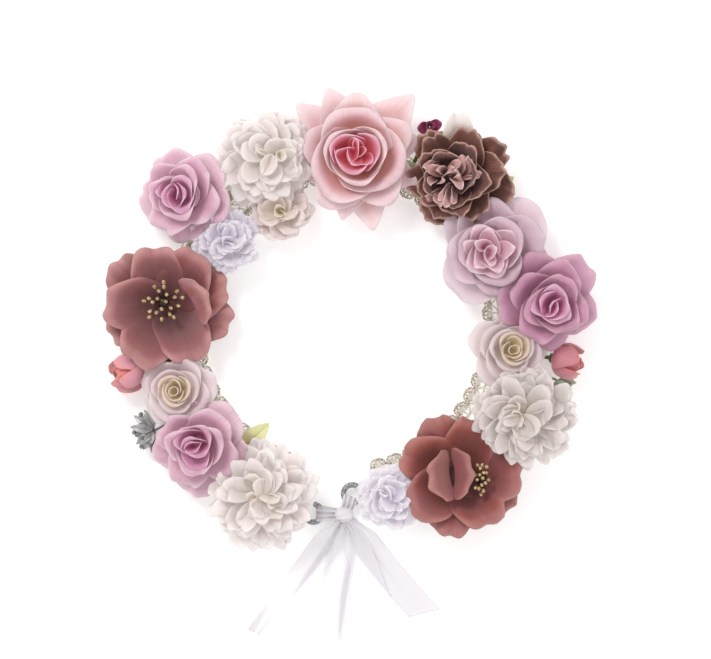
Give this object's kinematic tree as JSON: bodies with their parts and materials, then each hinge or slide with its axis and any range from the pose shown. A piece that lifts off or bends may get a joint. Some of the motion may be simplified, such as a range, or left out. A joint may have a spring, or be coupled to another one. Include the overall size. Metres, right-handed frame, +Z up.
{
  "type": "flower crown",
  "caption": "Open-backed wire hoop headpiece covered in silk roses, blossoms and buds, with beaded scalloped lace inside and a sheer ribbon tied between its end loops.",
  "frame": {"origin": "on the ring's axis, in the plane of the lace's underside that the crown rests on", "axes": "+Z up along the ring's axis, out of the flowers' faces; +Y towards the front, where the largest rose is; the ribbon is at -Y"},
  "size_m": [0.2499, 0.2857, 0.038],
  "materials": {
    "spring_wire": "bright drawn spring wire",
    "floral_tape": "pale green crepe floral tape",
    "lace": "ecru scalloped lace",
    "beads": "antique gold beads",
    "eye_metal": "grey metallic cord over wire",
    "black_tape": "black binding",
    "stem_green": "green floral wire coating",
    "calyx_green": "moulded green cup",
    "blush_silk": "pale blush polyester silk",
    "coral_heart": "deep coral pink silk",
    "mocha_silk": "taupe brown silk with frayed edges",
    "dusty_pink_heart": "dusty pink silk",
    "mauve_silk": "mauve pink silk",
    "mauve_heart": "deep mauve silk",
    "cream_silk": "cream silk",
    "cream_heart": "yellow-green tinted silk",
    "dusty_silk": "dusty rose silk",
    "stamen_gold": "gold bronze stamens",
    "lilac_silk": "lilac white silk",
    "coral_silk": "coral silk, orange edge",
    "magenta_silk": "deep magenta silk",
    "silver_leaf": "silver-grey glitter foil",
    "grey_green": "grey-green berries and wires",
    "leaf_green": "yellow-green silk leaf",
    "organza": "sheer white organza"
  },
  "bodies": {
    "band_right": {"hoop_wire_right": "spring_wire", "band_wrap_right": "floral_tape", "lace_trim_right": "lace", "lace_beads_right": "beads", "eye_loop_right": "eye_metal", "eye_binding_right": "black_tape", "stem_wires_right": "stem_green", "calyx_cups_right": "calyx_green", "top_rose_petals": "blush_silk", "top_rose_heart": "coral_heart", "mocha_rose_petals": "mocha_silk", "mocha_rose_heart": "dusty_pink_heart", "blush_rose_petals": "blush_silk", "blush_rose_heart": "coral_heart", "mauve_rose_right_petals": "mauve_silk", "mauve_rose_right_heart": "mauve_heart", "cream_rose_right_petals": "cream_silk", "cream_rose_right_heart": "cream_heart", "blossom_right_petals": "cream_silk", "dusty_flower_right_petals": "dusty_silk", "dusty_flower_right_stamens": "stamen_gold", "carnation_right_petals": "lilac_silk", "magenta_bud_petals": "magenta_silk", "magenta_bud_calyx": "calyx_green", "leaves_right": "leaf_green", "ribbon_strand_right": "organza"},
    "band_left": {"hoop_wire_left": "spring_wire", "band_wrap_left": "floral_tape", "lace_trim_left": "lace", "lace_beads_left": "beads", "eye_loop_left": "eye_metal", "eye_binding_left": "black_tape", "stem_wires_left": "stem_green", "calyx_cups_left": "calyx_green", "blossom_bottom_left_petals": "cream_silk", "mauve_rose_left_petals": "mauve_silk", "mauve_rose_left_heart": "mauve_heart", "cream_rose_left_petals": "cream_silk", "cream_rose_left_heart": "cream_heart", "dusty_flower_left_petals": "dusty_silk", "dusty_flower_left_stamens": "stamen_gold", "carnation_left_petals": "lilac_silk", "mauve_rose_top_left_petals": "mauve_silk", "mauve_rose_top_left_heart": "mauve_heart", "cream_flower_top_petals": "cream_silk", "blossom_top_left_petals": "cream_silk", "leaves_left": "leaf_green", "ribbon_strand_left": "organza"},
    "coral_bud_right": {"coral_bud_right_petals": "coral_silk", "coral_bud_right_calyx": "calyx_green"},
    "coral_bud_left": {"coral_bud_left_petals": "coral_silk", "coral_bud_left_calyx": "calyx_green"},
    "silver_sprig": {"silver_sprig_leaves": "silver_leaf"},
    "green_sprig": {"green_sprig_berries": "grey_green"},
    "ribbon_knot": {"ribbon_knot": "organza"},
    "tail_straight": {"ribbon_tail_straight": "organza"},
    "tail_diagonal": {"ribbon_tail_diagonal": "organza"},
    "tail_left": {"ribbon_tail_left": "organza"},
    "tail_right": {"ribbon_tail_right": "organza"}
  },
  "joints": [
    {"name": "band_flex", "type": "hinge", "parent": "band_right", "child": "band_left", "pos_m": [0, 0.088, 0.00385], "axis": [0, 0, 1], "range_deg": [-2.5, 1.5], "stiffness_Nm_per_rad": 0.6, "deforming": ["ribbon_strand_left"]},
    {"name": "coral_bud_right_bend", "type": "hinge", "parent": "band_right", "child": "coral_bud_right", "pos_m": [0.08941, -0.01496, 0.00385], "axis": [-0.165, -0.9863, 0], "range_deg": [-4, 9]},
    {"name": "coral_bud_left_bend", "type": "hinge", "parent": "band_left", "child": "coral_bud_left", "pos_m": [-0.08833, -0.02039, 0.00385], "axis": [-0.225, 0.9744, 0], "range_deg": [-8, 10]},
    {"name": "silver_sprig_bend", "type": "hinge", "parent": "band_left", "child": "silver_sprig", "pos_m": [-0.07874, -0.04491, 0.00385], "axis": [0, 0, 1], "range_deg": [-10, 10]},
    {"name": "green_sprig_bend", "type": "hinge", "parent": "band_right", "child": "green_sprig", "pos_m": [0.08764, -0.02316, 0.00385], "axis": [0, 0, 1], "range_deg": [-8, 2]},
    {"name": "ribbon_drop", "type": "hinge", "parent": "band_right", "child": "ribbon_knot", "pos_m": [0.00052, -0.099, 0.00538], "axis": [1, 0, 0], "range_deg": [-25, 80]},
    {"name": "tail_straight_swing", "type": "hinge", "parent": "ribbon_knot", "child": "tail_straight", "pos_m": [0.00052, -0.099, 0.00538], "axis": [0, 0, 1], "range_deg": [-10, 10]},
    {"name": "tail_diagonal_swing", "type": "hinge", "parent": "ribbon_knot", "child": "tail_diagonal", "pos_m": [0.00052, -0.099, 0.00538], "axis": [0, 0, 1], "range_deg": [-10, 10]},
    {"name": "tail_left_swing", "type": "hinge", "parent": "ribbon_knot", "child": "tail_left", "pos_m": [0.00052, -0.099, 0.00538], "axis": [0, 0, 1], "range_deg": [-8, 10]},
    {"name": "tail_right_swing", "type": "hinge", "parent": "ribbon_knot", "child": "tail_right", "pos_m": [0.00052, -0.099, 0.00538], "axis": [0, 0, 1], "range_deg": [-10, 10]}
  ]
}
